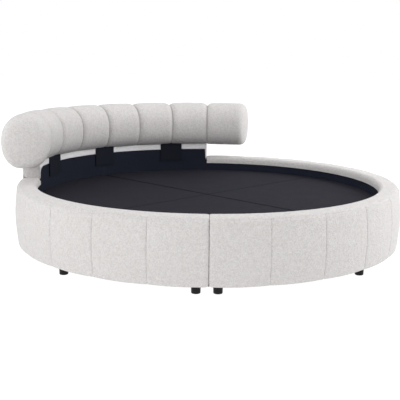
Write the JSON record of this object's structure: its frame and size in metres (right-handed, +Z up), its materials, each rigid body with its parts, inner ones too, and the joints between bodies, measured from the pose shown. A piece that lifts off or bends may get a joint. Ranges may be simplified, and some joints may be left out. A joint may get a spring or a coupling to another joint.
{
  "type": "round bed",
  "caption": "Round upholstered bed frame: quarter rails in boucle round a flush black deck, with a curved head panel and a channelled bolster.",
  "frame": {"origin": "on the floor at the ring's axis, under the middle support leg", "axes": "+Z up, +Y from the middle towards the head panel, +X to the right as seen from the foot"},
  "size_m": [2.2452, 2.3213, 0.7648],
  "materials": {
    "boucle": "off-white looped boucle",
    "black_fabric": "black woven platform cloth",
    "black_board": "bent board faced with black cloth",
    "plywood": "bare birch plywood",
    "timber": "planed softwood",
    "black_plastic": "matt black",
    "black_steel": "satin black powder coat",
    "zinc_steel": "zinc plated"
  },
  "bodies": {
    "bed_frame": {"beam_hangers": "zinc_steel", "bolster_core": "plywood", "bolster_cushion": "boucle", "bolster_fixing_left": "black_steel", "bolster_fixing_middle": "black_steel", "bolster_fixing_right": "black_steel", "cross_beam_head_to_foot": "timber", "cross_beam_side_to_side": "timber", "dust_cover_foot": "black_fabric", "dust_cover_head": "black_fabric", "dust_cover_left": "black_fabric", "dust_cover_right": "black_fabric", "feet_foot": "black_plastic", "feet_head": "black_plastic", "feet_left": "black_plastic", "feet_right": "black_plastic", "head_panel_cover": "boucle", "head_panel_frame": "plywood", "head_panel_lining": "black_board", "head_panel_posts": "timber", "joint_plate_foot_left": "zinc_steel", "joint_plate_foot_right": "zinc_steel", "joint_plate_head_left": "zinc_steel", "joint_plate_head_right": "zinc_steel", "joint_screws": "zinc_steel", "ledger_foot": "timber", "ledger_head": "timber", "ledger_left": "timber", "ledger_right": "timber", "leg_pads": "black_plastic", "rail_cover_foot": "boucle", "rail_cover_head": "boucle", "rail_cover_left": "boucle", "rail_cover_right": "boucle", "rail_frame_foot": "plywood", "rail_frame_head": "plywood", "rail_frame_left": "plywood", "rail_frame_right": "plywood", "rail_lining_foot": "black_board", "rail_lining_head": "black_board", "rail_lining_left": "black_board", "rail_lining_right": "black_board", "support_legs": "timber"},
    "deck_head_right": {"deck_cover_head_right": "black_fabric", "deck_board_head_right": "plywood", "deck_stiffeners_head_right": "timber"},
    "deck_head_left": {"deck_cover_head_left": "black_fabric", "deck_board_head_left": "plywood", "deck_stiffeners_head_left": "timber"},
    "deck_foot_left": {"deck_cover_foot_left": "black_fabric", "deck_board_foot_left": "plywood", "deck_stiffeners_foot_left": "timber"},
    "deck_foot_right": {"deck_cover_foot_right": "black_fabric", "deck_board_foot_right": "plywood", "deck_stiffeners_foot_right": "timber"}
  },
  "joints": [
    {"name": "lift_head_right_panel", "type": "slide", "parent": "bed_frame", "child": "deck_head_right", "axis": [0, 0, 1], "range_m": [0, 0.15]},
    {"name": "lift_head_left_panel", "type": "slide", "parent": "bed_frame", "child": "deck_head_left", "axis": [0, 0, 1], "range_m": [0, 0.15]},
    {"name": "lift_foot_left_panel", "type": "slide", "parent": "bed_frame", "child": "deck_foot_left", "axis": [0, 0, 1], "range_m": [0, 0.15]},
    {"name": "lift_foot_right_panel", "type": "slide", "parent": "bed_frame", "child": "deck_foot_right", "axis": [0, 0, 1], "range_m": [0, 0.15]}
  ]
}
